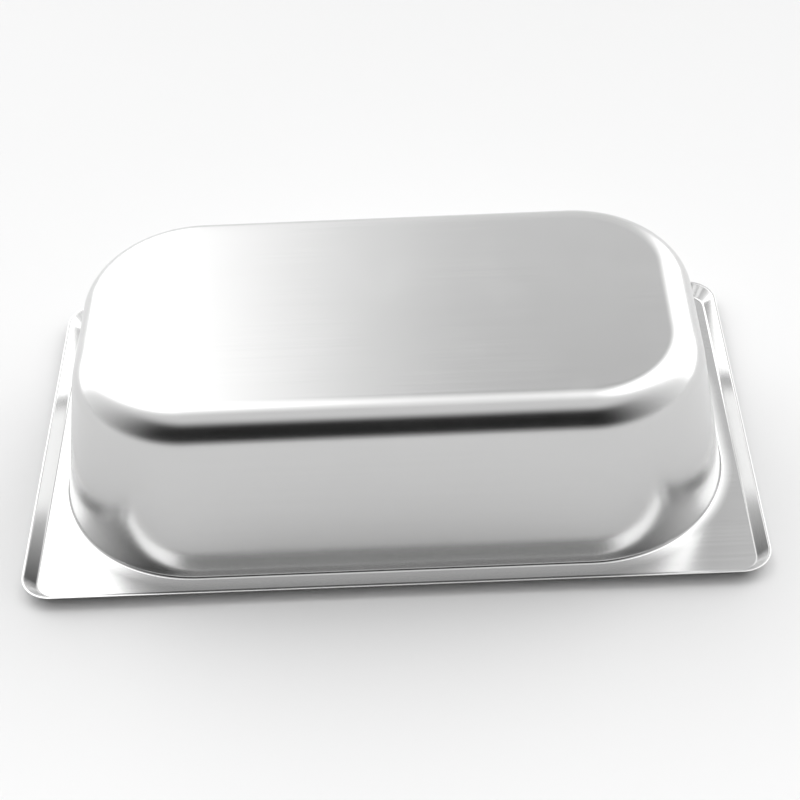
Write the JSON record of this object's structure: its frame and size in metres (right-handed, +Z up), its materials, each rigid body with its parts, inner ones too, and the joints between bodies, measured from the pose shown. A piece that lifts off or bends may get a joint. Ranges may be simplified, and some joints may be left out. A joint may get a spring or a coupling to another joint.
{
  "type": "deli food pan",
  "caption": "Rectangular drawn stainless steel food pan with drafted walls, generous round corners, a flat rim and a turned-down lip.",
  "frame": {"origin": "middle of the base's underside, the face the pan stands on in use", "axes": "+Z up out of the opening, +X along the long side, +Y along the short side"},
  "size_m": [0.265, 0.162, 0.065],
  "materials": {
    "satin_stainless": "satin drawn stainless steel sheet, fine brushing along the length, bright at the folds and the cut edge"
  },
  "bodies": {
    "root": {"pan": "satin_stainless"}
  },
  "joints": []
}
